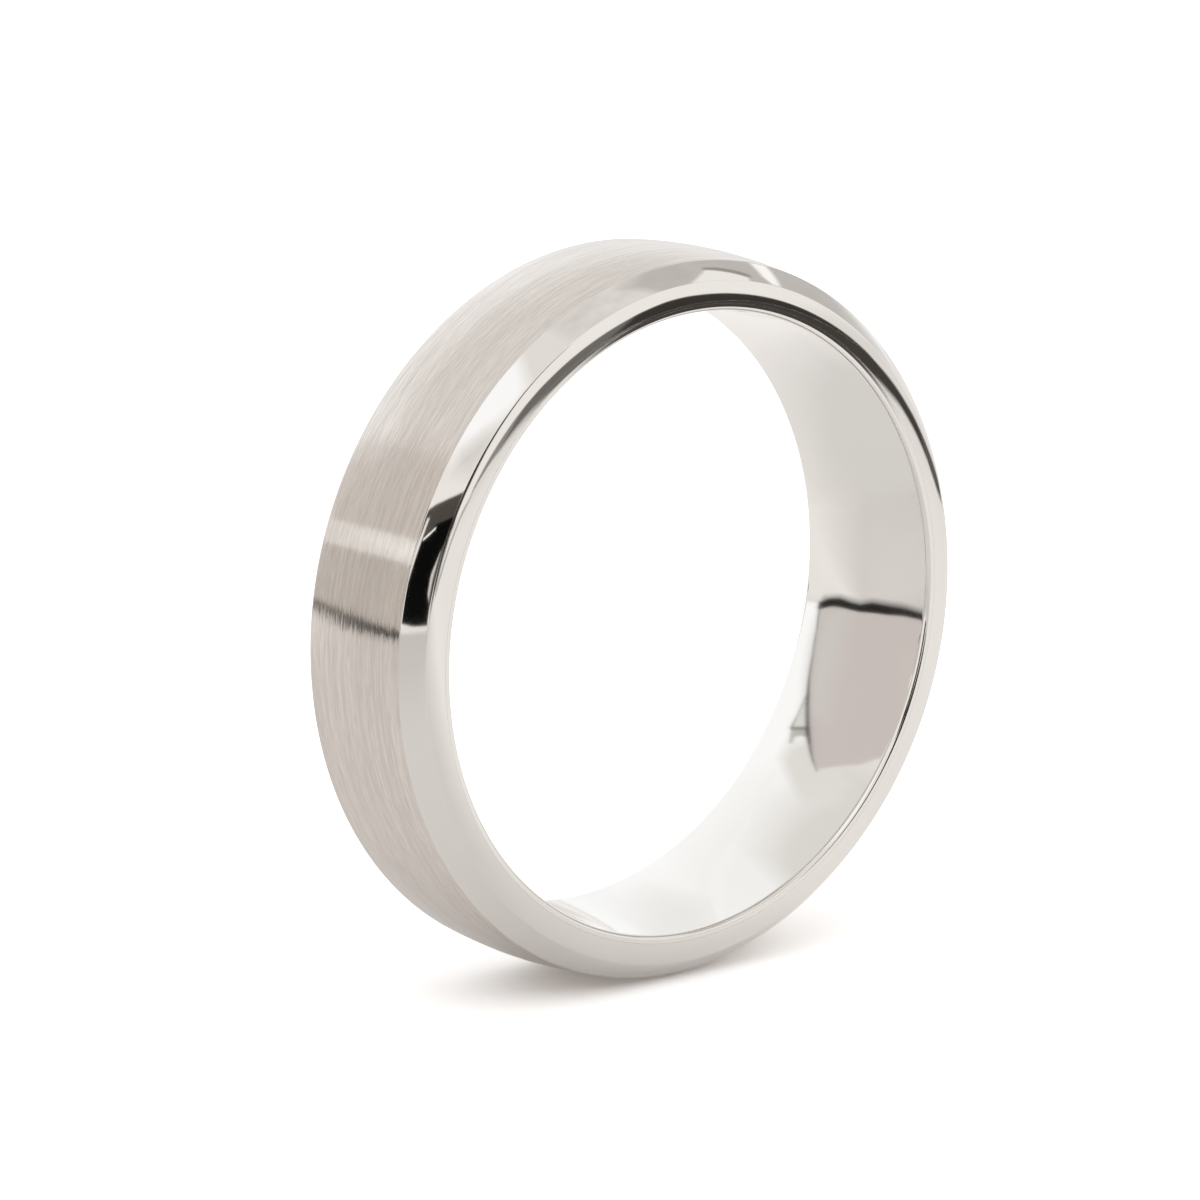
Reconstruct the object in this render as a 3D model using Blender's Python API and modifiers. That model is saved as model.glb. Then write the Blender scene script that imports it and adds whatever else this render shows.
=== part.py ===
# Wedding band in white metal, built up from four rings that are all turned about one axis:
# a polished comfort-fit liner carries two polished bevelled rails and a satin centre band.
# Metres, +Z up. The finger axis is Y, the side turned to the viewer faces -Y, and the origin is the ring's centre.

import math

import bpy
from mathutils import Matrix, Vector

MM = 0.001

# Driving sizes of the finished band
FINGER_DIAMETER = 18.6 * MM  # narrowest part of the bore, halfway along it
WALL = 1.7 * MM  # from there out to the crown of the satin centre
BAND_WIDTH = 5.5 * MM  # between the flat lands of the two sides

# Outside of the section
CROWN_RISE = 0.13 * MM  # doming of the satin centre across its width
BEVEL_RUN = 0.62 * MM  # bevel measured along the finger axis
BEVEL_DROP = 0.53 * MM  # bevel measured towards the finger
BEVEL_BULGE = 0.014 * MM  # slight roundness that polishing leaves on the bevel
SIDE_FALL = 0.13 * MM  # how far the rounded side falls back from its land to the bevel
SIDE_BULGE = 0.016 * MM  # roundness of that side about its chord

# Bore and rim of the liner
COMFORT_RISE = 0.13 * MM  # inward doming of the bore
RIM_RUN = 0.22 * MM  # rounded rim measured along the finger axis
RIM_DEPTH = 0.12 * MM  # rounded rim measured away from the finger
RIM_BULGE = 0.03 * MM  # roundness of the rim about its chord
RIM_LAND = 0.13 * MM  # flat ring beside the rim, on which the band lies

# Joints inside the section
COLLAR_WIDTH = 2.3 * MM  # raised collar round the liner, against whose shoulders the rails seat
COLLAR_HEIGHT = 0.22 * MM
TONGUE_THICKNESS = 0.4 * MM  # part of each rail that runs in under the centre band
FIT_GAP = 0.02 * MM  # left between pieces that are pressed and soldered together

# Fineness of the turned shapes
TURN_STEPS = 80
CROWN_STEPS = 8
BORE_STEPS = 8
BEVEL_STEPS = 3
SIDE_STEPS = 4
RIM_STEPS = 3
CREASE_ANGLE = math.radians(12)

# Places that follow from the sizes above: radii from the finger axis, and halves of widths along it
bore_r = FINGER_DIAMETER / 2
crown_r = bore_r + WALL
edge_r = crown_r - CROWN_RISE
bevel_foot_r = edge_r - BEVEL_DROP
bore_end_r = bore_r + COMFORT_RISE
land_inner_r = bore_end_r + RIM_DEPTH
seat_r = land_inner_r + RIM_LAND
collar_r = seat_r + COLLAR_HEIGHT
rail_bore_r = seat_r + FIT_GAP
tongue_r = rail_bore_r + TONGUE_THICKNESS

half_width = BAND_WIDTH / 2
half_bore = half_width - RIM_RUN
half_collar = COLLAR_WIDTH / 2
half_centre = half_width - SIDE_FALL - BEVEL_RUN


def arc(start, end, rise, steps):
    # Circular arc from start to end, bowed by rise to the left of the way it runs; end is left to the next stretch
    start, end = Vector(start), Vector(end)
    chord = end - start
    along = chord.normalized()
    left = Vector((-along.y, along.x))
    sweep = 4 * math.atan2(2 * rise, chord.length)
    radius = chord.length / (2 * math.sin(sweep / 2))
    centre = (start + end) / 2 - left * radius * math.cos(sweep / 2)
    angles = [sweep * (step / steps - 0.5) for step in range(steps)]
    return [centre + left * radius * math.cos(a) + along * radius * math.sin(a) for a in angles]


def metal(name, colour, roughness):
    material = bpy.data.materials.new(name)
    material.use_nodes = True
    shader = material.node_tree.nodes["Principled BSDF"]
    shader.inputs["Base Color"].default_value = (*colour, 1)
    shader.inputs["Metallic"].default_value = 1
    shader.inputs["Roughness"].default_value = roughness
    return material


def turned(name, profile):
    # Closed outline of (radius, height) points, turned once round the Z axis.
    # The flats touch the true circles, and half a step of turn puts flats at the top, bottom and sides.
    half_step = math.pi / TURN_STEPS
    outline = bpy.data.meshes.new(name + "_outline")
    count = len(profile)
    corners = [(point[0] / math.cos(half_step), 0, point[1]) for point in profile]
    edges = [(index, (index + 1) % count) for index in range(count)]
    outline.from_pydata(corners, edges, [])
    lathe = bpy.data.objects.new(name + "_lathe", outline)
    bpy.context.scene.collection.objects.link(lathe)
    screw = lathe.modifiers.new("Turn", "SCREW")
    screw.axis = "Z"
    screw.angle = math.tau
    screw.steps = screw.render_steps = TURN_STEPS
    screw.use_merge_vertices = True
    screw.merge_threshold = 0.001 * MM
    graph = bpy.context.evaluated_depsgraph_get()
    mesh = bpy.data.meshes.new_from_object(lathe.evaluated_get(graph))
    mesh.name = name
    bpy.data.objects.remove(lathe)
    bpy.data.meshes.remove(outline)
    mesh.transform(Matrix.Rotation(half_step, 4, "Z"))
    mesh.shade_smooth()
    mesh.set_sharp_from_angle(angle=CREASE_ANGLE)
    return mesh


def place(name, mesh, material, height=0, turn=0):
    # Heights run along the finger axis, because the carrier lays its own Z along Y
    piece = bpy.data.objects.new(name, mesh)
    if not mesh.materials:
        mesh.materials.append(None)
    piece.material_slots[0].link = "OBJECT"
    piece.material_slots[0].material = material
    piece.location.z = height
    piece.rotation_euler.x = turn
    piece.parent = carrier
    parts.objects.link(piece)
    return piece


def liner_profile():
    # Seats and collar outside, flat lands and rounded rims at both ends, domed bore inside
    outside = [
        (seat_r, half_width),
        (seat_r, half_collar),
        (collar_r, half_collar),
        (collar_r, -half_collar),
        (seat_r, -half_collar),
        (seat_r, -half_width),
    ]
    near_rim = arc((land_inner_r, -half_width), (bore_end_r, -half_bore), RIM_BULGE, RIM_STEPS)
    bore = arc((bore_end_r, -half_bore), (bore_end_r, half_bore), COMFORT_RISE, BORE_STEPS)
    far_rim = arc((bore_end_r, half_bore), (land_inner_r, half_width), RIM_BULGE, RIM_STEPS)
    return outside + near_rim + bore + far_rim + [(land_inner_r, half_width)]


def rail_profile():
    # Height 0 is the butt face against the centre band, and the side of the ring is on top
    side_top = half_width - half_centre
    side = arc((rail_bore_r, side_top), (bevel_foot_r, BEVEL_RUN), SIDE_BULGE, SIDE_STEPS)
    bevel = arc((bevel_foot_r, BEVEL_RUN), (edge_r, 0), BEVEL_BULGE, BEVEL_STEPS)
    tongue_end = half_collar + FIT_GAP - half_centre
    return side + bevel + [
        (edge_r, 0),
        (tongue_r, 0),
        (tongue_r, tongue_end),
        (rail_bore_r, tongue_end),
    ]


def centre_profile():
    # Domed outside, ends stepped to lap over the tongues, and a rib between them that sits on the collar
    end = half_centre - FIT_GAP
    rib_end = half_collar - FIT_GAP
    lap_r = tongue_r + FIT_GAP
    rib_r = collar_r + FIT_GAP
    crown = arc((edge_r, end), (edge_r, -end), CROWN_RISE, CROWN_STEPS)
    return crown + [
        (edge_r, -end),
        (lap_r, -end),
        (lap_r, -rib_end),
        (rib_r, -rib_end),
        (rib_r, rib_end),
        (lap_r, rib_end),
        (lap_r, end),
    ]


for old in list(bpy.data.objects):
    bpy.data.objects.remove(old)

parts = bpy.data.collections.new("wedding_band")
bpy.context.scene.collection.children.link(parts)
carrier = bpy.data.objects.new("finger_axis", None)
carrier.rotation_euler.x = -math.pi / 2
parts.objects.link(carrier)

polished = metal("polished_white_metal", (0.83, 0.81, 0.78), 0.06)
polished_bore = metal("polished_bore", (0.80, 0.78, 0.76), 0.1)
satin = metal("satin_white_metal", (0.62, 0.58, 0.55), 0.38)
rail_mesh = turned("bevel_rail", rail_profile())

place("inner_sleeve", turned("inner_sleeve", liner_profile()), polished_bore)
place("satin_centre_band", turned("satin_centre_band", centre_profile()), satin)
place("front_bevel_rail", rail_mesh, polished, -half_centre, math.pi)
place("rear_bevel_rail", rail_mesh, polished, half_centre)

bpy.context.view_layer.update()
print(f"crown diameter {crown_r * 2 / MM:.2f} mm, bore {FINGER_DIAMETER / MM:.2f} mm, width {BAND_WIDTH / MM:.2f} mm")
print(f"satin width {half_centre * 2 / MM:.2f} mm, liner wall at its ends {(seat_r - bore_end_r) / MM:.2f} mm")
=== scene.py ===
import math

import bmesh
import bpy
from mathutils import Matrix, Vector


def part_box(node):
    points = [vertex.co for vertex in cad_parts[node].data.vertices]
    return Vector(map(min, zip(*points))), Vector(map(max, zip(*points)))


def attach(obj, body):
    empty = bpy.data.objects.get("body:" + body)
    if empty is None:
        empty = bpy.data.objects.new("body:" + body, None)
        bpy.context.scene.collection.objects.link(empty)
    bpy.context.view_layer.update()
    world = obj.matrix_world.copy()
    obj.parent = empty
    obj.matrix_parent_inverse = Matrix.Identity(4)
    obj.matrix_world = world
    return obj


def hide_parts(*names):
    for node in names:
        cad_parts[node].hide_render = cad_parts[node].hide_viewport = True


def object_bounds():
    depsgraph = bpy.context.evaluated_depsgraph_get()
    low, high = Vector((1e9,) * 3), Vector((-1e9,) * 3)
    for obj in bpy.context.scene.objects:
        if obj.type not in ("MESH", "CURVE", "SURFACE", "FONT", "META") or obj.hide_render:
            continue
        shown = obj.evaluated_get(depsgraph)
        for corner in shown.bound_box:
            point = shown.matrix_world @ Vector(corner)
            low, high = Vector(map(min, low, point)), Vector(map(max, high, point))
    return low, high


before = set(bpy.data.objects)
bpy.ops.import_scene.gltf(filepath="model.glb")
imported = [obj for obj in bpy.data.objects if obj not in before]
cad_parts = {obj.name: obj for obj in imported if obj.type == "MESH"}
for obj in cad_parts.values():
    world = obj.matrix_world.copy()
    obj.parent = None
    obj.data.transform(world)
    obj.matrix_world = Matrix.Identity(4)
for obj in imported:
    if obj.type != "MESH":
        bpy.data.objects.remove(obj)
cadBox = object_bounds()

mm = 0.001


class Wire:  # a node socket that can stand in plain sums
    def __init__(self, tree, socket=None):
        self.tree = tree
        self.socket = socket

    def node(self, kind, settings=None, inputs=None, out=0):
        made = self.tree.nodes.new(kind)
        for name, value in (settings or {}).items():
            if name == "stops":  # a ramp's places and greys
                while len(made.color_ramp.elements) < len(value):
                    made.color_ramp.elements.new(0.5)  # put in its place below
                for element, (place, grey) in zip(made.color_ramp.elements, value):
                    element.position = place
                    element.color = (grey, grey, grey, 1)
            else:
                setattr(made, name, value)
        for key, value in (inputs or {}).items():
            if isinstance(value, Wire):
                self.tree.links.new(value.socket, made.inputs[key])
            else:
                made.inputs[key].default_value = value
        return Wire(self.tree, made.outputs[out]) if made.outputs else made

    def maths(self, operation, *values):
        return self.node("ShaderNodeMath", {"operation": operation}, dict(enumerate(values)))

    def axes(self):  # a vector's three parts
        return [self.node("ShaderNodeSeparateXYZ", inputs={0: self}, out=axis) for axis in range(3)]

    def swing(self, by):  # a noise about its middle
        return (self - 0.5) * by

    def __add__(self, other):
        return self.maths("ADD", self, other)

    def __sub__(self, other):
        return self.maths("SUBTRACT", self, other)

    def __rsub__(self, other):
        return self.maths("SUBTRACT", other, self)

    def __mul__(self, other):
        return self.maths("MULTIPLY", self, other)

    def __truediv__(self, other):
        return self.maths("DIVIDE", self, other)

    def __rtruediv__(self, other):
        return self.maths("DIVIDE", other, self)

    __radd__ = __add__
    __rmul__ = __mul__


def skyPoint(az, el, far=1):  # degrees from the front to the right, degrees up, and how far off
    az, el = math.radians(az), math.radians(el)
    return Vector((math.sin(az) * math.cos(el), -math.cos(az) * math.cos(el), math.sin(el))) * far


# Camera: long lens, a little above the table, looking at the left of the front side
camera = {
    "azimuth": -40.92, "elevation": 13.75,  # degrees
    "distance": 339.9 * mm, "left": 1.0066 * mm, "up": 0.2445 * mm,
    "lens": 341.1, "sensor": 36,  # millimetres, as Blender wants them
    "nearest": 0.01, "farthest": 20,
}


def setCamera():
    turn = math.radians(camera["azimuth"])
    back = skyPoint(camera["azimuth"], camera["elevation"])
    right = Vector((math.cos(turn), math.sin(turn), 0))
    data = bpy.data.cameras.new("camera")
    data.lens = camera["lens"]
    data.sensor_width = camera["sensor"]
    data.clip_start = camera["nearest"]
    data.clip_end = camera["farthest"]
    eye = bpy.data.objects.new("camera", data)
    eye.location = back * camera["distance"] - right * camera["left"] + back.cross(right) * camera["up"]
    eye.rotation_euler = back.to_track_quat("Z", "Y").to_euler()
    bpy.context.scene.collection.objects.link(eye)
    bpy.context.scene.camera = eye


setCamera()
print("camera set")


# Sections: each row is the corner a stretch runs to, as (radius, along the finger), how far the stretch
# bows to the left of its way, its steps, and how far back the corner is eased. All in millimetres.
def straight(corner, ease, steps=1):
    return corner, 0, steps, ease


def bowed(start, end, bow, steps):
    if not bow:
        return [start.lerp(end, step / steps) for step in range(steps + 1)]
    chord = end - start
    along = chord.normalized()
    left = Vector((-along.y, along.x))
    sweep = 4 * math.atan2(2 * bow, chord.length)
    radius = chord.length / (2 * math.sin(sweep / 2))
    centre = (start + end) / 2 - left * radius * math.cos(sweep / 2)
    turns = [sweep * (step / steps - 0.5) for step in range(steps + 1)]
    return [centre + left * radius * math.cos(turn) + along * radius * math.sin(turn) for turn in turns]


def shortened(points, cut):  # the stretch without its last bit
    points = list(points)
    while cut > 0 and (points[-1] - points[-2]).length <= cut:
        cut -= (points[-1] - points[-2]).length
        points.pop()
    points[-1] = points[-1].lerp(points[-2], cut / (points[-1] - points[-2]).length)
    return points


def easedOutline(rows, easeSteps):
    places, bows, steps, eases = zip(*rows)
    corners = [Vector(place) for place in places]
    outline = []
    for here, corner in enumerate(corners):
        before, after = here - 1, (here + 1) % len(rows)
        stretch = bowed(corners[before], corner, bows[here], steps[here])
        stretch = shortened(stretch, eases[here])
        stretch = shortened(stretch[::-1], eases[before])[::-1]
        following = bowed(corner, corners[after], bows[after], steps[after])
        following = shortened(following[::-1], eases[here])[::-1]
        outline += stretch
        for step in range(1, easeSteps):
            t = step / easeSteps
            outline.append(stretch[-1].lerp(corner, t).lerp(corner.lerp(following[0], t), t))
    return outline


# Node tree that turns a section once round the finger axis and gives it the faint waves of hand polishing
turning = {"Turn steps": 720, "Wave height": 0.0, "Wave length": 2.4 * mm, "Seed": 0.0}
leadRadius = 10 * mm  # of the circle that leads the section round, before each point gets its own place


def turningTree():
    tree = bpy.data.node_groups.new("turnedRing", "GeometryNodeTree")
    kinds = {"Turn steps": "NodeSocketInt", "Finish": "NodeSocketMaterial"}
    tree.interface.new_socket("Section", in_out="INPUT", socket_type="NodeSocketGeometry")
    for label in [*turning, "Finish"]:
        tree.interface.new_socket(label, in_out="INPUT", socket_type=kinds.get(label, "NodeSocketFloat"))
    tree.interface.new_socket("Ring", in_out="OUTPUT", socket_type="NodeSocketGeometry")
    entry = tree.nodes.new("NodeGroupInput")
    size = {socket.name: Wire(tree, socket) for socket in entry.outputs if socket.name}
    start = Wire(tree)
    where = start.node("GeometryNodeInputPosition")
    radius, along, _ = where.axes()
    step = start.node("GeometryNodeInputIndex")
    section = start.node("GeometryNodeMeshToCurve", inputs={"Mesh": size["Section"]})
    circle = start.node("GeometryNodeCurvePrimitiveCircle", {"mode": "RADIUS"}, {
        "Resolution": size["Turn steps"], "Radius": leadRadius})

    def keep(shape, label, value):
        return start.node("GeometryNodeStoreNamedAttribute", {"data_type": "FLOAT", "domain": "POINT"},
                          {"Geometry": shape, "Name": label, "Value": value})

    def recall(label):
        return start.node("GeometryNodeInputNamedAttribute", {"data_type": "FLOAT"}, {"Name": label})

    section = keep(keep(section, "cutRadius", radius), "cutAlong", along)
    circle = keep(circle, "turnAngle", step * math.tau / size["Turn steps"])
    swept = start.node("GeometryNodeCurveToMesh", inputs={
        "Curve": circle, "Profile Curve": section, "Fill Caps": False})
    angle = recall("turnAngle")
    place = start.node("ShaderNodeCombineXYZ", inputs={
        0: recall("cutRadius") * start.maths("COSINE", angle),
        1: recall("cutAlong"),
        2: recall("cutRadius") * start.maths("SINE", angle)})
    ring = start.node("GeometryNodeSetPosition", inputs={"Geometry": swept, "Position": place})
    for label in ("cutRadius", "cutAlong", "turnAngle"):
        ring = start.node("GeometryNodeRemoveAttribute", inputs={"Geometry": ring, "Name": label})
    wave = start.node("ShaderNodeTexNoise", {"noise_dimensions": "4D"}, {
        "Vector": where, "W": size["Seed"], "Scale": 1 / size["Wave length"], "Detail": 1.0})
    lift = start.node("ShaderNodeVectorMath", {"operation": "SCALE"}, {
        0: start.node("GeometryNodeInputNormal"), "Scale": wave.swing(2) * size["Wave height"]})
    ring = start.node("GeometryNodeSetPosition", inputs={"Geometry": ring, "Offset": lift})
    ring = start.node("GeometryNodeSetShadeSmooth", inputs={"Geometry": ring})
    ring = start.node("GeometryNodeRealizeInstances", inputs={"Geometry": ring})
    ring = start.node("GeometryNodeSetMaterial", inputs={"Geometry": ring, "Material": size["Finish"]})
    leave = tree.nodes.new("NodeGroupOutput")
    tree.links.new(ring.socket, leave.inputs["Ring"])
    return tree


ringTree = turningTree()
ringSockets = {item.name: item.identifier for item in ringTree.interface.items_tree if item.in_out == "INPUT"}


def turnPiece(name, rows, settings, finish, replaces):
    outline = [point * mm for point in easedOutline(rows, settings["ease steps"])]
    count = len(outline)
    mesh = bpy.data.meshes.new(name + "Section")
    corners = [(*point, 0) for point in outline]
    edges = [(index, (index + 1) % count) for index in range(count)]
    mesh.from_pydata(corners, edges, [])
    blank = bpy.data.objects.new(name + "Blank", mesh)
    bpy.context.scene.collection.objects.link(blank)
    turn = blank.modifiers.new("turn", "NODES")
    turn.node_group = ringTree
    for label in turning:
        turn[ringSockets[label]] = settings.get(label, turning[label])
    turn[ringSockets["Finish"]] = finish
    graph = bpy.context.evaluated_depsgraph_get()
    ring = bpy.data.meshes.new_from_object(blank.evaluated_get(graph))
    blank.modifiers.remove(turn)
    bpy.data.objects.remove(blank)
    bpy.data.meshes.remove(mesh)
    shell = bmesh.new()
    shell.from_mesh(ring)
    bmesh.ops.recalc_face_normals(shell, faces=shell.faces)
    shell.to_mesh(ring)
    shell.free()
    ring.name = name
    piece = bpy.data.objects.new(name, ring)
    bpy.context.scene.collection.objects.link(piece)
    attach(piece, "root")
    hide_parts(replaces)
    print(name, "turned,", len(ring.polygons), "faces")
    return piece


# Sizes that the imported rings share, in millimetres
fitGap = 0.02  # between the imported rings
collarHeight = 0.22
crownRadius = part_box("satin_centre_band")[1].z / mm
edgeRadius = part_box("front_bevel_rail")[1].z / mm
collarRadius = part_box("inner_sleeve")[1].z / mm
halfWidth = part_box("inner_sleeve")[1].y / mm
halfCollar = -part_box("front_bevel_rail")[1].y / mm - fitGap
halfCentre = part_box("satin_centre_band")[1].y / mm + fitGap
seatRadius = collarRadius - collarHeight
seam = 0.003  # what shows of the soldered joints
seamEase = 0.001  # edges beside the rim's seam, all but sharp
creaseEase = 0.018  # both edges of the crease between satin and bevel
hiddenEase = 0.02  # corners inside the band

# Liner: rounded rims, domed comfort-fit bore, collar between the seats of the rails
liner = {
    "bore end": 9.43, "comfort": 0.13, "bore steps": 44, "bore ease": 0.035,
    "rim run": 0.22, "rim bow": 0.03, "rim steps": 10, "rim ease": 0.03, "land": 0.13, "land steps": 6,
    "ease steps": 6, "Wave height": 0.0009 * mm, "Wave length": 2.6 * mm, "Seed": 3.0,
}


def linerRows():
    end, rim = halfWidth - liner["rim run"], liner["bore end"]
    land = seatRadius - liner["land"]
    return [
        straight((seatRadius, halfWidth), seamEase, liner["land steps"]),
        straight((seatRadius, halfCollar), hiddenEase),
        straight((collarRadius, halfCollar), hiddenEase),
        straight((collarRadius, -halfCollar), hiddenEase),
        straight((seatRadius, -halfCollar), hiddenEase),
        straight((seatRadius, -halfWidth), seamEase),
        straight((land, -halfWidth), liner["rim ease"], liner["land steps"]),
        ((rim, -end), liner["rim bow"], liner["rim steps"], liner["bore ease"]),
        ((rim, end), liner["comfort"], liner["bore steps"], liner["bore ease"]),
        ((land, halfWidth), liner["rim bow"], liner["rim steps"], liner["rim ease"]),
    ]


# Rails: rounded side, bevel that polishing has left slightly round, tongue under the centre band
rail = {
    "bevel run": 0.62, "bevel drop": 0.53, "bevel bow": 0.014, "side bow": 0.016, "foot ease": 0.02,
    "tongue": 0.4, "steps": 24, "butt steps": 2,
    "ease steps": 6, "Wave height": 0.0004 * mm, "Wave length": 1.8 * mm,
}
tongueRadius = seatRadius + fitGap + rail["tongue"]


def railRows():
    foot, bore = edgeRadius - rail["bevel drop"], seatRadius + seam
    tongueEnd = halfCollar + fitGap
    return [
        straight((bore, halfWidth), seamEase),
        ((foot, halfCentre + rail["bevel run"]), rail["side bow"], rail["steps"], rail["foot ease"]),
        ((edgeRadius, halfCentre), rail["bevel bow"], rail["steps"], creaseEase),
        straight((tongueRadius, halfCentre), hiddenEase, rail["butt steps"]),
        straight((tongueRadius, tongueEnd), hiddenEase),
        straight((bore, tongueEnd), hiddenEase),
    ]


# Centre band: satin crown, ends stepped over the tongues, rib on the liner's collar
centre = {"rise": crownRadius - edgeRadius, "crown steps": 48, "end steps": 2, "ease steps": 5}


def centreRows():
    end, rib = halfCentre - seam, halfCollar - fitGap
    lap, sole = tongueRadius + fitGap, collarRadius + fitGap
    return [
        straight((edgeRadius, end), creaseEase, centre["end steps"]),
        ((edgeRadius, -end), centre["rise"], centre["crown steps"], creaseEase),
        straight((lap, -end), hiddenEase, centre["end steps"]),
        straight((lap, -rib), hiddenEase),
        straight((sole, -rib), hiddenEase),
        straight((sole, rib), hiddenEase),
        straight((lap, rib), hiddenEase),
        straight((lap, end), hiddenEase),
    ]


# Finishes
def newFinish(name):
    finish = bpy.data.materials.new(name)
    finish.use_nodes = True
    finish.node_tree.nodes.clear()
    return finish, Wire(finish.node_tree)


def endFinish(start, inputs):
    shader = start.node("ShaderNodeBsdfPrincipled", inputs=inputs)
    start.node("ShaderNodeOutputMaterial", inputs={"Surface": shader})


def stretched(start, around, across, detail, seed):  # noise drawn out round the ring
    spot = start.node("ShaderNodeTexCoord", out="Object")
    spot = start.node("ShaderNodeMapping", inputs={
        "Vector": spot, "Scale": (around, across, around), "Location": (seed, seed, seed)})
    return start.node("ShaderNodeTexNoise", inputs={
        "Vector": spot, "Scale": 1.0, "Detail": detail, "Roughness": 0.6})


def tinted(start, factor, dark, light):  # 6, 7 and 2 are a Mix node's sockets for colours
    dark, light = [tone if isinstance(tone, Wire) else (*tone, 1) for tone in (dark, light)]
    return start.node("ShaderNodeMix", {"data_type": "RGBA"}, {0: factor, 6: dark, 7: light}, out=2)


def bumped(start, height, depth):
    return start.node("ShaderNodeBump", inputs={"Strength": 1.0, "Distance": depth, "Height": height})


# Satin: marks of the brush, each counted in so many to the metre round the ring and across it
satin = {
    "dark": (0.685, 0.64, 0.60), "light": (0.82, 0.77, 0.725), "roughness": 0.155, "anisotropy": 1.0,
    "lines": {"around": 320, "across": 13000, "detail": 4.0, "seed": 5.1},  # single brush lines
    "nicks": {"around": 1500, "across": 16900, "detail": 3.0, "seed": 1.7},  # short nicks among them
    "passes": {"around": 90, "across": 1500, "detail": 2.0, "seed": 8.3},  # uneven passes of the brush
    "grooves": {"around": 1000, "across": 9100, "detail": 2.0, "seed": 3.3},  # turn the gleam line by line
    "line tint": 2.2, "nick tint": 2.6, "pass tint": 1.2, "middle tint": 0.5,
    "nick roughness": 0.1, "groove depth": 0.009 * mm,
}


def satinFinish():
    finish, start = newFinish("satinWhiteMetal")
    lines = stretched(start, **satin["lines"])
    nicks = stretched(start, **satin["nicks"])
    passes = stretched(start, **satin["passes"])
    grooves = stretched(start, **satin["grooves"])
    tint = lines.swing(satin["line tint"]) + nicks.swing(satin["nick tint"])
    tint = tint + passes.swing(satin["pass tint"]) + satin["middle tint"]
    endFinish(start, {
        "Base Color": tinted(start, tint, satin["dark"], satin["light"]),
        "Metallic": 1.0,
        "Roughness": satin["roughness"] + nicks.swing(satin["nick roughness"]),
        "Anisotropic": satin["anisotropy"],
        "Normal": bumped(start, grooves, satin["groove depth"])})
    return finish


# Polish: a faint film, and the fine lines that turning leaves
polish = {
    "dark": (0.80, 0.775, 0.745), "light": (0.84, 0.82, 0.79), "roughness": 0.045, "bore roughness": 0.06,
    "film": {"Scale": 420.0, "Detail": 4.0, "Roughness": 0.55},
    "lines": {"around": 300, "across": 14000, "detail": 3.0}, "line depth": 0.00002 * mm,
    "film tint": 0.8, "line tint": 0.4, "tint start": 0.1, "film roughness": 0.05, "line roughness": 0.02,
}


def polishedFinish(name, roughness, seed):
    finish, start = newFinish(name)
    spot = start.node("ShaderNodeTexCoord", out="Object")
    film = start.node("ShaderNodeTexNoise", inputs={"Vector": spot, **polish["film"]})
    lines = stretched(start, seed=seed, **polish["lines"])
    tint = film * polish["film tint"] + lines * polish["line tint"] - polish["tint start"]
    endFinish(start, {
        "Base Color": tinted(start, tint, polish["dark"], polish["light"]),
        "Metallic": 1.0,
        "Roughness": roughness + film.swing(polish["film roughness"]) + lines.swing(polish["line roughness"]),
        "Normal": bumped(start, lines, polish["line depth"])})
    return finish


polished = polishedFinish("polishedWhiteMetal", polish["roughness"], seed=2.9)
polishedBore = polishedFinish("polishedBore", polish["bore roughness"], seed=6.3)
satinMetal = satinFinish()
print("finishes mixed")

turnPiece("polishedSleeve", linerRows(), liner, polishedBore, "inner_sleeve")
satinPiece = turnPiece("satinCentre", centreRows(), centre, satinMetal, "satin_centre_band")
frontRows = [((r, -y), -bow, steps, ease) for (r, y), bow, steps, ease in railRows()]
turnPiece("frontBevelRail", frontRows, {**rail, "Seed": 5.0}, polished, "front_bevel_rail")
turnPiece("rearBevelRail", railRows(), {**rail, "Seed": 7.0}, polished, "rear_bevel_rail")

# The gleam of the brushing takes its way from the texture space, so that is drawn out along the finger
fingerReach = 1000
satinPiece.data.use_auto_texspace = False
satinPiece.data.texspace_location = (0, 0, 0)
satinPiece.data.texspace_size = (crownRadius * mm, fingerReach, crownRadius * mm)


# Studio: white table, white surroundings, cards that the polished metal mirrors
table = {
    "reach": 0.63, "segments": 128, "white": 1.42, "mirrored": (0.68, 0.656, 0.636),
    "grain": {"Scale": 300.0, "Detail": 3.0}, "grain depth": 0.01,
    "span": 240 * mm,  # from left to right, over which the light painted on the table for the metal changes
    "back": 18 * mm,  # behind which the painted light runs aslant
    # places from left to right, and the strength of the light painted on the table there
    "sides": [
        (0.0, 0.015), (0.25, 0.035), (0.33, 0.075), (0.4, 0.135), (0.45, 0.14), (0.48, 0.12), (0.5, 0.2),
        (0.53, 0.33), (0.58, 0.3), (0.65, 0.31), (0.75, 0.29), (0.92, 0.22)],
}


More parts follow.
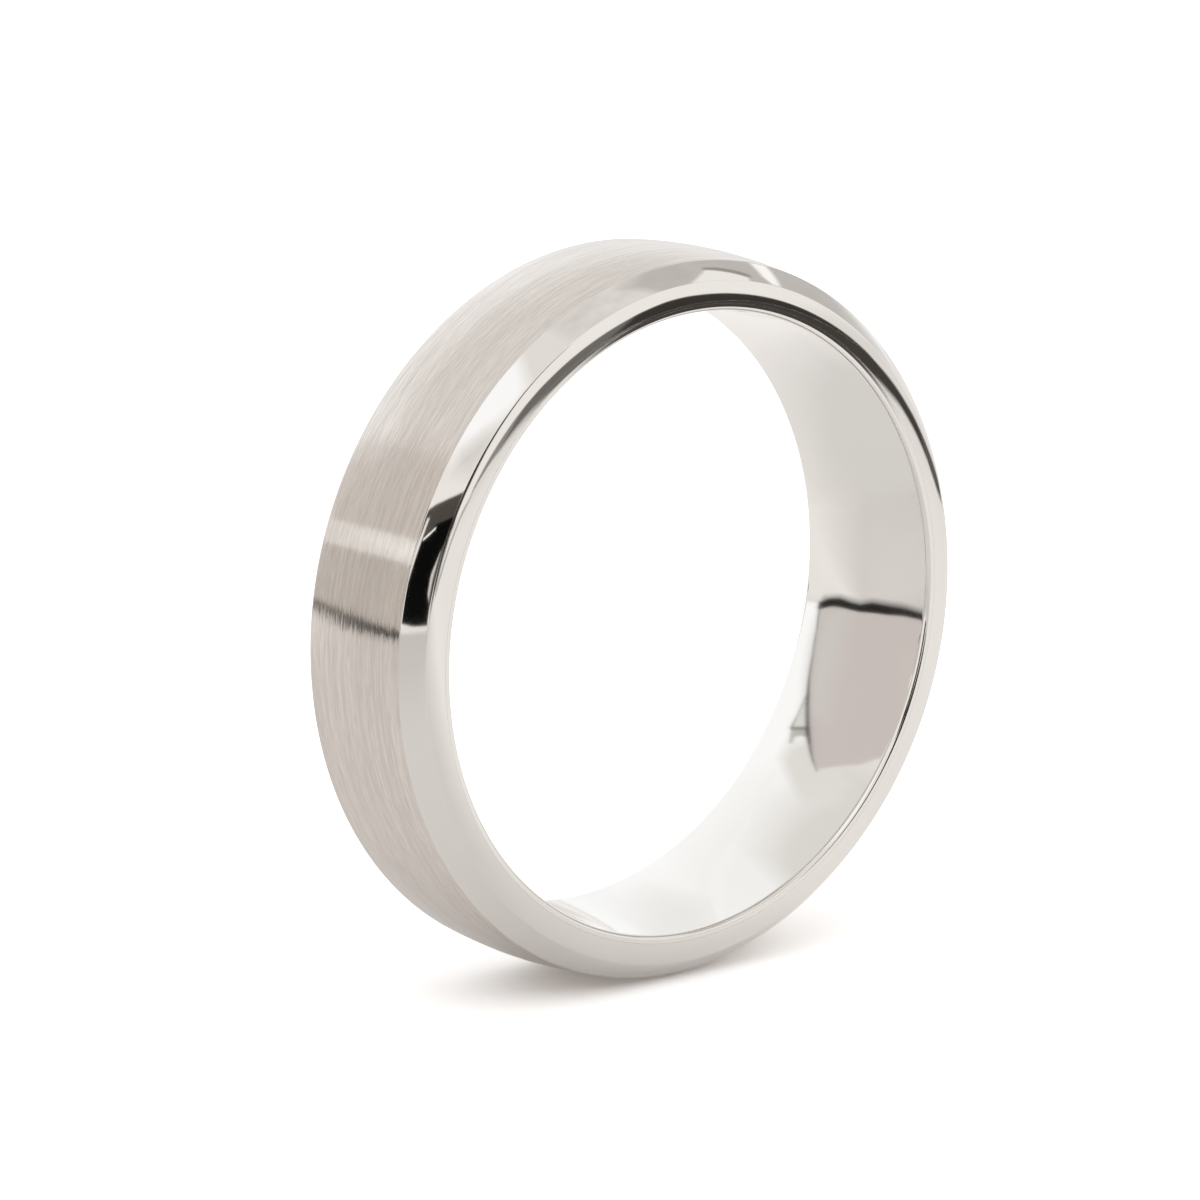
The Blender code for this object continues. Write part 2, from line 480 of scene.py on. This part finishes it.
def layTable():
    mesh = bpy.data.meshes.new("table")
    shape = bmesh.new()
    bmesh.ops.create_circle(shape, cap_ends=True, radius=table["reach"], segments=table["segments"])
    shape.to_mesh(mesh)
    shape.free()
    mesh.transform(Matrix.Translation((0, 0, cadBox[0].z)))
    finish, start = newFinish("tableWhite")
    spot = start.node("ShaderNodeTexCoord", out="Object")
    inView = start.node("ShaderNodeLightPath", out="Is Camera Ray")
    inMetal = start.node("ShaderNodeLightPath", out="Is Glossy Ray")
    grain = start.node("ShaderNodeTexNoise", inputs={"Vector": spot, **table["grain"]})
    tone = tinted(start, inView, table["mirrored"], [table["white"]] * 3)
    tone = start.node("ShaderNodeVectorMath", {"operation": "SCALE"}, {
        0: tone, "Scale": 1 + grain.swing(table["grain depth"])})
    white = start.node("ShaderNodeBsdfDiffuse", inputs={"Color": tone})
    # painted light: the table glows only to rays from the metal, dim on the left and brighter from the middle
    # to the right and behind
    across, along, _ = spot.axes()
    across = across + start.maths("MAXIMUM", along - table["back"], 0.0)
    side = start.node("ShaderNodeValToRGB", {"stops": table["sides"]}, {0: across / table["span"] + 0.5})
    glow = start.node("ShaderNodeEmission", inputs={"Strength": inMetal * side})
    both = start.node("ShaderNodeAddShader", inputs={0: white, 1: glow})
    start.node("ShaderNodeOutputMaterial", inputs={"Surface": both})
    mesh.materials.append(finish)
    top = bpy.data.objects.new("table", mesh)
    bpy.context.scene.collection.objects.link(top)


layTable()
print("table laid")

# Each card is an outline of (azimuth, elevation) in degrees, seen from the ring. Of two cards the nearer
# one covers the other, and those on the table lie below the horizon.
cards = {
    # pale and grey surroundings, behind, above and to both sides
    "backWhite": {"level": (1.065, 1.08, 1.09), "far": 3.2, "soft": 10, "outline": [
        (116, -3), (203, -3), (205, 43), (170, 46), (150, 60), (116, 40)]},
    "backGlow": {"level": (1.16, 1.18, 1.2), "far": 3.18, "soft": 10, "outline": [
        (145, 16), (158, -5), (226, -5), (226, 30), (206, 37), (190, 36), (170, 35), (151, 30)]},
    "backGrey": {"level": (0.84, 0.83, 0.81), "far": 3.3, "soft": 10, "outline": [
        (215, 36), (203, 39.5), (190, 43.5), (176, 47), (164, 47), (150, 45), (138, 41), (128, 44),
        (140, 64), (170, 76), (205, 72), (240, 54)]},
    "backLine": {"level": (1.09, 1.1, 1.1), "far": 3.12, "soft": 0.7, "outline": [
        (196.6, 35.9), (188.2, 38.4), (181, 40.6), (175.5, 41.7), (170, 41), (164.2, 41.5), (155, 40.1),
        (148, 38.2), (144, 37), (138.6, 33.9), (138.6, 32.9), (145, 36.4), (149, 37.3), (155, 39.1),
        (164.2, 40.5), (170, 40.2), (175.5, 40.8), (181, 39.6), (188.2, 37.6), (196.6, 35)]},
    "backShade": {"level": (0.985, 0.985, 0.985), "far": 3.17, "soft": 8, "outline": [
        (116, 10), (136, 10), (144, 24), (144, 34), (137, 31), (116, 34)]},
    "backDusk": {"level": (0.885, 0.875, 0.855), "far": 3.11, "soft": 3.5, "outline": [
        (198, 40), (200, 33.5), (203.5, 31), (211, 31), (214, 44), (204, 47), (197, 45)]},
    "overhead": {"level": (0.80, 0.785, 0.76), "far": 3.25, "soft": 10, "mottle": 0.5, "outline": [
        (12, 62), (30, 58), (60, 60), (100, 70), (40, 84), (0, 80)]},
    "leftBank": {"level": (1.16, 1.17, 1.2), "far": 3.2, "soft": 9, "outline": [
        (-66, 42), (-56, 42.5), (-48, 44), (-40, 46), (-24, 50), (-19, 56), (-24, 64), (-30, 70),
        (-50, 69), (-70, 52)]},
    "leftBankFoot": {"level": (0.80, 0.78, 0.76), "far": 3.15, "soft": 8, "outline": [
        (-50, 38), (-42, 36), (-36, 39), (-34, 45), (-40, 45.5), (-45, 44), (-50, 42)]},
    "rightGrey": {"level": (0.61, 0.59, 0.57), "far": 3.2, "soft": 7, "mottle": 0.2, "outline": [
        (65, 65), (84, 62), (100, 48), (113, 24), (117, 8), (101, 8), (81, 34), (60, 51)]},
    "rightFoot": {"level": (0.75, 0.735, 0.71), "far": 3.21, "soft": 6, "outline": [
        (102, 12), (120, 12), (120, -3), (102, -3)]},
    "rightMist": {"level": (0.84, 0.82, 0.80), "far": 3.22, "soft": 5, "outline": [
        (52, 2), (58, 4), (68, 4), (74, -3), (52, -3)]},
    "rightGlint": {"level": (1.15, 1.15, 1.15), "far": 3.1, "soft": 1.4, "outline": [
        (91.5, 28.8), (94, 30.4), (101.5, 31), (104, 28.2), (103.4, 26.6), (92.6, 27)]},
    "rightPale": {"level": (1.0, 0.99, 0.97), "far": 3.1, "soft": 1.0, "outline": [
        (73, 48), (80, 46.4), (87.2, 44.4), (88.4, 41), (89.4, 34.5), (84, 34), (78, 40), (72, 46)]},
    "rightBlot": {"level": (0.36, 0.34, 0.32), "far": 3.08, "soft": 0.9, "outline": [
        (86.4, 45.2), (88.6, 44.6), (90.6, 41), (91.8, 36), (91.6, 33.6), (89.6, 34), (89, 38), (87.8, 42)]},
    # dark ones low at the front and left, with their pale edges, and those on the table
    "nearBlack": {"level": (0.035, 0.03, 0.027), "far": 3.1, "soft": 1, "outline": [
        (-40, -3), (10.7, -3), (11.2, 0), (13.4, 2.75), (15.2, 5.5), (17.6, 8.2), (20.4, 11.2), (24, 13.4),
        (22, 20), (14, 26), (-10, 32), (-32, 29), (-42, 22)]},
    "nearMat": {"level": (0.14, 0.13, 0.12), "onTable": True, "soft": 1, "outline": [
        (-10, -0.4), (10.6, -0.4), (7.4, -2.9), (4, -5), (0, -6.5), (-4, -7), (-8, -5)]},
    "tableShade": {"level": (0.78, 0.765, 0.745), "onTable": True, "soft": 12, "outline": [
        (140, -25), (185, -25), (200, -36), (190, -54), (150, -54), (136, -36)]},
    "leftGleam": {"level": (0.95, 0.93, 0.9), "onTable": True, "soft": 1, "outline": [
        (-70, -0.4), (-50, -0.4), (-50, -2.2), (-70, -2.6)]},
    "leftBlackTop": {"level": (0.085, 0.075, 0.065), "far": 3.02, "soft": 0.6, "outline": [
        (-66, -0.2), (-51, -2), (-50.5, 3), (-44, 17), (-40, 30.4), (-43, 30.6), (-50, 30.2), (-57, 29.4),
        (-60.5, 28.4), (-63, 27), (-64, 24.6)]},
    "leftBlack": {"level": (0.004, 0.004, 0.004), "outline": [
        (-66, -0.2), (-52, -1.9), (-51, 1), (-51, 3), (-52.5, 7), (-52, 12), (-48.5, 17), (-44, 23),
        (-44, 24.8), (-54, 24), (-60.5, 20.5), (-62, 16), (-63.5, 11), (-65, 5)]},
    "leftSliver": {"level": (0.72, 0.70, 0.67), "far": 2.98, "outline": [
        (-48.4, 17), (-52, 11), (-52.4, 6.5), (-51.4, 4.6), (-50.6, 10)]},
    "leftEdge": {"level": (1.0, 0.98, 0.95), "far": 2.98, "soft": 0.4, "outline": [
        (-59.0, 26), (-60.4, 26), (-63, 18.5), (-65.2, 10.5), (-64.2, 10.5), (-61.6, 18)]},
    "leftBar": {"level": (1.6, 1.6, 1.55), "far": 2.96, "soft": 0.2, "outline": [
        (-60, 20.2), (-54, 22.7), (-54, 23.2), (-60, 20.7)]},
    "frontBlack": {"level": (0.045, 0.041, 0.037), "soft": 0.8, "outline": [
        (35, -3), (35, 4.6), (38, 5.4), (39.6, 5.1), (41, 4.4), (44, 3.2), (47.75, 1.9), (51.5, 0.5),
        (55.5, -0.8), (58, -1.6), (58, -3)]},
    "frontGrey": {"level": (0.175, 0.167, 0.157), "far": 3.02, "soft": 0.8, "outline": [
        (35.6, 4.5), (32.75, 3.9), (29, 3.5), (25.9, 3.1), (24, 2.5), (24, -3), (35.6, -3)]},
    "frontPale": {"level": (0.3, 0.29, 0.275), "far": 3.04, "soft": 1.0, "outline": [
        (26, 3.2), (22.75, 2.3), (19.6, 0.7), (17, -0.8), (17, -3), (26, -3)]},
    "frontMat": {"level": (0.06, 0.055, 0.05), "onTable": True, "soft": 0.9, "outline": [
        (35, -0.4), (35, -4.4), (37.6, -6), (37.8, -8.2), (43.8, -9), (46, -6), (50.6, -4.6), (53.4, -4.2),
        (57, -4.0), (61.5, -4.7), (66, -5.9), (66, -3.3), (61.5, -2.0), (58, -1.2), (56.5, -0.4)]},
    "frontMatGrey": {"level": (0.19, 0.182, 0.17), "onTable": True, "soft": 1.8, "outline": [
        (36, 0.6), (36, -4.8), (33, -3.9), (31, -3.2), (28, -2.2), (25, -1.4), (22, -0.2), (22, 0.6)]},
    "frontMatEnd": {"level": (0.12, 0.115, 0.11), "onTable": True, "soft": 0.6, "outline": [
        (65.5, -3.1), (69, -4.4), (73, -6.0), (73, -7.2), (69, -6.8), (65.5, -5.9)]},
    "frontTail": {"level": (0.4, 0.39, 0.37), "onTable": True, "soft": 0.5, "outline": [
        (17, -1.05), (14, -1.3), (10.9, -2.4), (7.75, -3.8), (4, -5.2), (4, -5.9), (7.75, -4.5),
        (10.9, -3.1), (14, -1.9), (17, -1.5)]},
    # grey panel behind the left, with its dark foot and edge, that the bore mirrors
    "panel": {"level": (0.70, 0.64, 0.625), "far": 3.06, "outline": [
        (-145, -3), (-118, -3), (-100, -3), (-100, 37), (-118, 37), (-134.7, 37.3), (-136.3, 37.7),
        (-138.6, 38.4), (-141, 38.9), (-146.3, 38.7), (-152.6, 38.4), (-152.3, 35.5), (-151.5, 32.7),
        (-150.7, 30.1), (-149.6, 26.2), (-148.3, 21.1), (-147.1, 16.1), (-146, 11.2), (-145.2, 5)]},
    "panelPale": {"level": (0.72, 0.70, 0.68), "far": 3.04, "soft": 5, "outline": [
        (-149, 25), (-144, 2), (-138, -3), (-140, 12), (-145, 27)]},
    "panelBase": {"level": (0.012, 0.011, 0.01), "far": 82 * mm, "soft": 0.3, "outline": [
        (-151.2, -0.5), (-149.7, -1.1), (-147.8, -1.75), (-145.8, -1.8), (-142.7, -1.5), (-140.7, -1.35),
        (-137.8, -1.6), (-133.9, -1.8), (-130.2, -2.25), (-126, -2.1), (-118, -1.3), (-112, -0.5),
        (-104, 0.1), (-96, 0.6), (-96, -0.9), (-104, -1.5), (-112, -2.3), (-118, -3.4), (-126, -3.8),
        (-130.5, -4.45), (-134.3, -4.2), (-138.2, -4.2), (-140.9, -3.15), (-143, -3.25), (-146.1, -3.9),
        (-148.1, -3.6), (-150, -2.85), (-151.2, -2.2)]},
    "panelTail": {"level": (0.015, 0.014, 0.013), "far": 82 * mm, "soft": 0.35, "outline": [
        (-157, -4.6), (-163, -5.3), (-170, -6), (-170, -7.4), (-163, -6.8), (-157, -6.1)]},
    "panelEdge": {"level": (0.03, 0.03, 0.03), "far": 2.98, "soft": 0.25, "outline": [
        (-153, 38.8), (-152.1, 35.5), (-151.1, 32.7), (-150.2, 30.1), (-149.1, 26.2), (-147.9, 21.1),
        (-146.9, 16.1), (-145.8, 11.2), (-145, 5), (-144.8, -2), (-145.1, -2), (-145.3, 5), (-146.2, 11.2),
        (-147.4, 16.1), (-148.7, 21.1), (-150.1, 26.2), (-151.4, 30.1), (-151.9, 32.7), (-152.6, 35.5),
        (-153.3, 39)]},
    "panelNotch": {"level": (0.3, 0.29, 0.28), "far": 2.99, "soft": 0.25, "outline": [
        (-148, 19.5), (-149.85, 22.15), (-152.05, 24.9), (-154.6, 27.3), (-154.5, 27.8), (-152.3, 28.3),
        (-149.9, 28.8), (-149.8, 28), (-152.1, 27.55), (-153.7, 27.2), (-151.75, 25.1), (-149.55, 22.35),
        (-147.8, 19.7)]},
    "panelSkirt": {"level": (0.58, 0.565, 0.54), "far": 3.0, "soft": 0.4, "outline": [
        (-154.3, 27.4), (-152.4, 28), (-149.9, 28.1), (-150.5, 31), (-151.6, 30.2), (-152.9, 29.6),
        (-154.4, 29.8), (-155.6, 31), (-156.3, 30.6)]},
    "panelFold": {"level": (0.86, 0.85, 0.83), "far": 3.01, "soft": 0.3, "outline": [
        (-148, 20.4), (-150.8, 23.9), (-154.2, 27.3), (-152.2, 27.8), (-149.8, 28.2), (-148.6, 23)]},
    "panelHaze": {"level": (0.25, 0.24, 0.23), "far": 84 * mm, "soft": 1.6, "outline": [
        (-151, -1.4), (-146, -1.9), (-140.5, -1.9), (-134, -2.9), (-126, -2.7), (-112, -1.2), (-112, -3),
        (-118, -4.2), (-126, -4.8), (-130.5, -5.4), (-134.3, -5.2), (-138.2, -5), (-140.9, -3.9),
        (-146.1, -4.5), (-150, -3.5)]},
    # close to the band, where the satin blurs them least
    "satinShadeLow": {"level": (0.62, 0.585, 0.55), "far": 20.3 * mm, "soft": 0.8, "outline": [
        (-84, 2.6), (-92.7, 2.4), (-101.2, 2.1), (-107.8, 2.1), (-114.4, 2.1), (-121, 2.1), (-127.5, 2.0),
        (-131.4, 1.8), (-131.4, 15), (-121, 18), (-108, 20), (-84, 20)]},
    "satinShadeHigh": {"level": (0.70, 0.665, 0.63), "far": 20.4 * mm, "soft": 9, "outline": [
        (-80, 14), (-101, 14), (-121, 11), (-136, 7), (-136, 30), (-129.3, 33.5), (-121.5, 35.6),
        (-113.5, 37.3), (-105, 38.5), (-80, 38.5)]},
    "satinLine": {"level": (0.06, 0.052, 0.045), "far": 19.9 * mm, "soft": 0.7, "outline": [
        (-90, 2.7), (-96, 2.5), (-101.2, 2.15), (-104.5, 2.6), (-107.8, 2.5), (-111, 2.65), (-114.4, 2.5),
        (-118, 2.7), (-121, 2.6), (-124, 2.45), (-127.5, 2.5), (-131, 2.2), (-131, 1.4), (-127.5, 1.2),
        (-124, 1.3), (-121, 1.1), (-118, 1.25), (-114.4, 1.0), (-111, 1.1), (-107.8, 0.9), (-104.5, 1.15),
        (-101.2, 1.1), (-96, 1.5), (-90, 1.9)]},
    "satinCrown": {"level": (0.84, 0.83, 0.805), "far": 20.5 * mm, "soft": 11, "outline": [
        (112, 52), (140, 53), (157, 57), (180, 60), (203, 56), (217, 46), (228, 38), (250, 42), (262, 50),
        (262, 86), (112, 86)]},
    "satinStreak": {"level": (0.89, 0.885, 0.87), "far": 20 * mm, "soft": 0.8, "outline": [
        (-84.5, 21.9), (-92.6, 22), (-101.7, 21.6), (-108.8, 21), (-115.8, 20.1), (-122.7, 18.9),
        (-129.4, 17.5), (-131.2, 17), (-131.2, 12.4), (-128.4, 13), (-121.8, 14.2), (-115.1, 15.2),
        (-108.2, 16), (-101.4, 16.5), (-92.6, 16.9), (-84.7, 16.9)]},
    "satinHeart": {"level": (1.04, 1.04, 1.02), "far": 19.95 * mm, "soft": 2.4, "outline": [
        (-88, 21.4), (-92.6, 21.4), (-101.7, 21), (-108.8, 20.4), (-114, 19.6), (-118, 18.4), (-114, 16.8),
        (-108.2, 17), (-101.4, 17.6), (-92.6, 17.8), (-88, 18)]},
}

# What the cards share: metres off and degrees of faded edge unless a card says otherwise, and their making
hanging = {
    "far": 3.0, "soft": 0.5, "keenest mitre": 0.35, "longest edge": 4, "splits": 5,
    "table edge": 1.02,  # degrees below the horizon
    "lift": 0.02 * mm,  # off the table
    "close": 1.0,  # nearer cards are only mirrored, and shade nothing
    "mottle": {"Scale": 2.6, "Detail": 4.0, "Roughness": 0.6},
}


def grown(outline, by):  # the outline moved out by so many degrees
    corners = [Vector(corner) for corner in outline]
    area = sum(corners[index - 1].cross(corner) for index, corner in enumerate(corners))
    moved = []
    for index, corner in enumerate(corners):
        before = (corner - corners[index - 1]).normalized()
        after = (corners[(index + 1) % len(corners)] - corner).normalized()
        out = [Vector((way.y, -way.x)) * (1 if area > 0 else -1) for way in (before, after)]
        bisector = (out[0] + out[1]).normalized()
        moved.append(corner + bisector * by / max(hanging["keenest mitre"], bisector.dot(out[0])))
    return moved


def cardMesh(name, card, far):
    soft = card.get("soft", hanging["soft"])
    sheet = bmesh.new()
    fade = sheet.verts.layers.float.new("fade")
    inner = [sheet.verts.new((*corner, 0)) for corner in grown(card["outline"], -soft / 2)]
    outer = [sheet.verts.new((*corner, 0)) for corner in grown(card["outline"], soft / 2)]
    for vert in inner:
        vert[fade] = 1
    middle = sheet.faces.new(inner)
    for index in range(len(inner)):
        sheet.faces.new((inner[index - 1], inner[index], outer[index], outer[index - 1]))
    bmesh.ops.triangulate(sheet, faces=[middle])
    for _ in range(hanging["splits"]):  # fine enough to lie on the dome or the table
        long = [edge for edge in sheet.edges if edge.calc_length() > hanging["longest edge"]]
        bmesh.ops.subdivide_edges(sheet, edges=long, cuts=1)
        bmesh.ops.triangulate(sheet, faces=[face for face in sheet.faces if len(face.verts) > 3])
    for vert in sheet.verts:
        az, el = vert.co.x, vert.co.y
        if card.get("onTable"):
            drop = math.tan(math.radians(max(-el, hanging["table edge"])))
            vert.co = skyPoint(az, 0, -cadBox[0].z / drop)
            vert.co.z = cadBox[0].z + hanging["lift"]
        else:
            vert.co = skyPoint(az, el, far)
    mesh = bpy.data.meshes.new(name)
    sheet.to_mesh(mesh)
    sheet.free()
    return mesh


def cardFinish(name, card):
    finish, start = newFinish(name)
    level = strength = max(card["level"])
    if "mottle" in card:
        spot = start.node("ShaderNodeTexCoord", out="Object")
        cloud = start.node("ShaderNodeTexNoise", inputs={"Vector": spot, **hanging["mottle"]})
        strength = level * (1 + cloud.swing(card["mottle"]))
    hue = [part / level for part in card["level"]]
    glow = start.node("ShaderNodeEmission", inputs={"Color": (*hue, 1), "Strength": strength})
    clear = start.node("ShaderNodeBsdfTransparent")
    cover = start.node("ShaderNodeAttribute", {"attribute_name": "fade"}, out="Fac")
    mixed = start.node("ShaderNodeMixShader", inputs={0: cover, 1: clear, 2: glow})
    start.node("ShaderNodeOutputMaterial", inputs={"Surface": mixed})
    finish.cycles.emission_sampling = "NONE"  # no lamp, only something to mirror
    return finish


def hangCard(name, card):
    far = card.get("far", hanging["far"])
    mesh = cardMesh(name, card, far)
    mesh.materials.append(cardFinish(name, card))
    hung = bpy.data.objects.new(name, mesh)
    hung.visible_camera = False
    hung.visible_diffuse = hung.visible_shadow = far > hanging["close"] and not card.get("onTable")
    bpy.context.scene.collection.objects.link(hung)


for cardName, card in cards.items():
    hangCard(cardName, card)
print(len(cards), "cards hung")

# Sky: white to the camera, duller overhead in the metal, and lighting the table more from the left front
sky = {
    "plain": (1, 1, 1), "low": (1.01, 0.985, 0.96), "high": (0.90, 0.885, 0.855),
    "rise": [(0.0, 0.0), (0.5, 0.0), (0.8, 1.0)], "lean": (-0.5, -0.6),
}


def setSky():
    world = bpy.data.worlds.new("studio")
    bpy.context.scene.world = world
    world.use_nodes = True
    world.node_tree.nodes.clear()
    start = Wire(world.node_tree)
    inView = start.node("ShaderNodeLightPath", out="Is Camera Ray")
    inMetal = start.node("ShaderNodeLightPath", out="Is Glossy Ray")
    across, along, height = start.node("ShaderNodeTexCoord", out="Generated").axes()
    rise = start.node("ShaderNodeValToRGB", {"stops": sky["rise"]}, {0: height})
    tone = tinted(start, rise, sky["low"], sky["high"])
    tone = tinted(start, inMetal, sky["plain"], tone)
    onTable = (1 - inView) * (1 - inMetal)
    lean = across * sky["lean"][0] + along * sky["lean"][1]
    light = start.node("ShaderNodeBackground", inputs={"Color": tone, "Strength": 1 + onTable * lean})
    start.node("ShaderNodeOutputWorld", inputs={"Surface": light})


setSky()

bpy.context.scene.view_settings.view_transform = "Standard"
print("studio set")
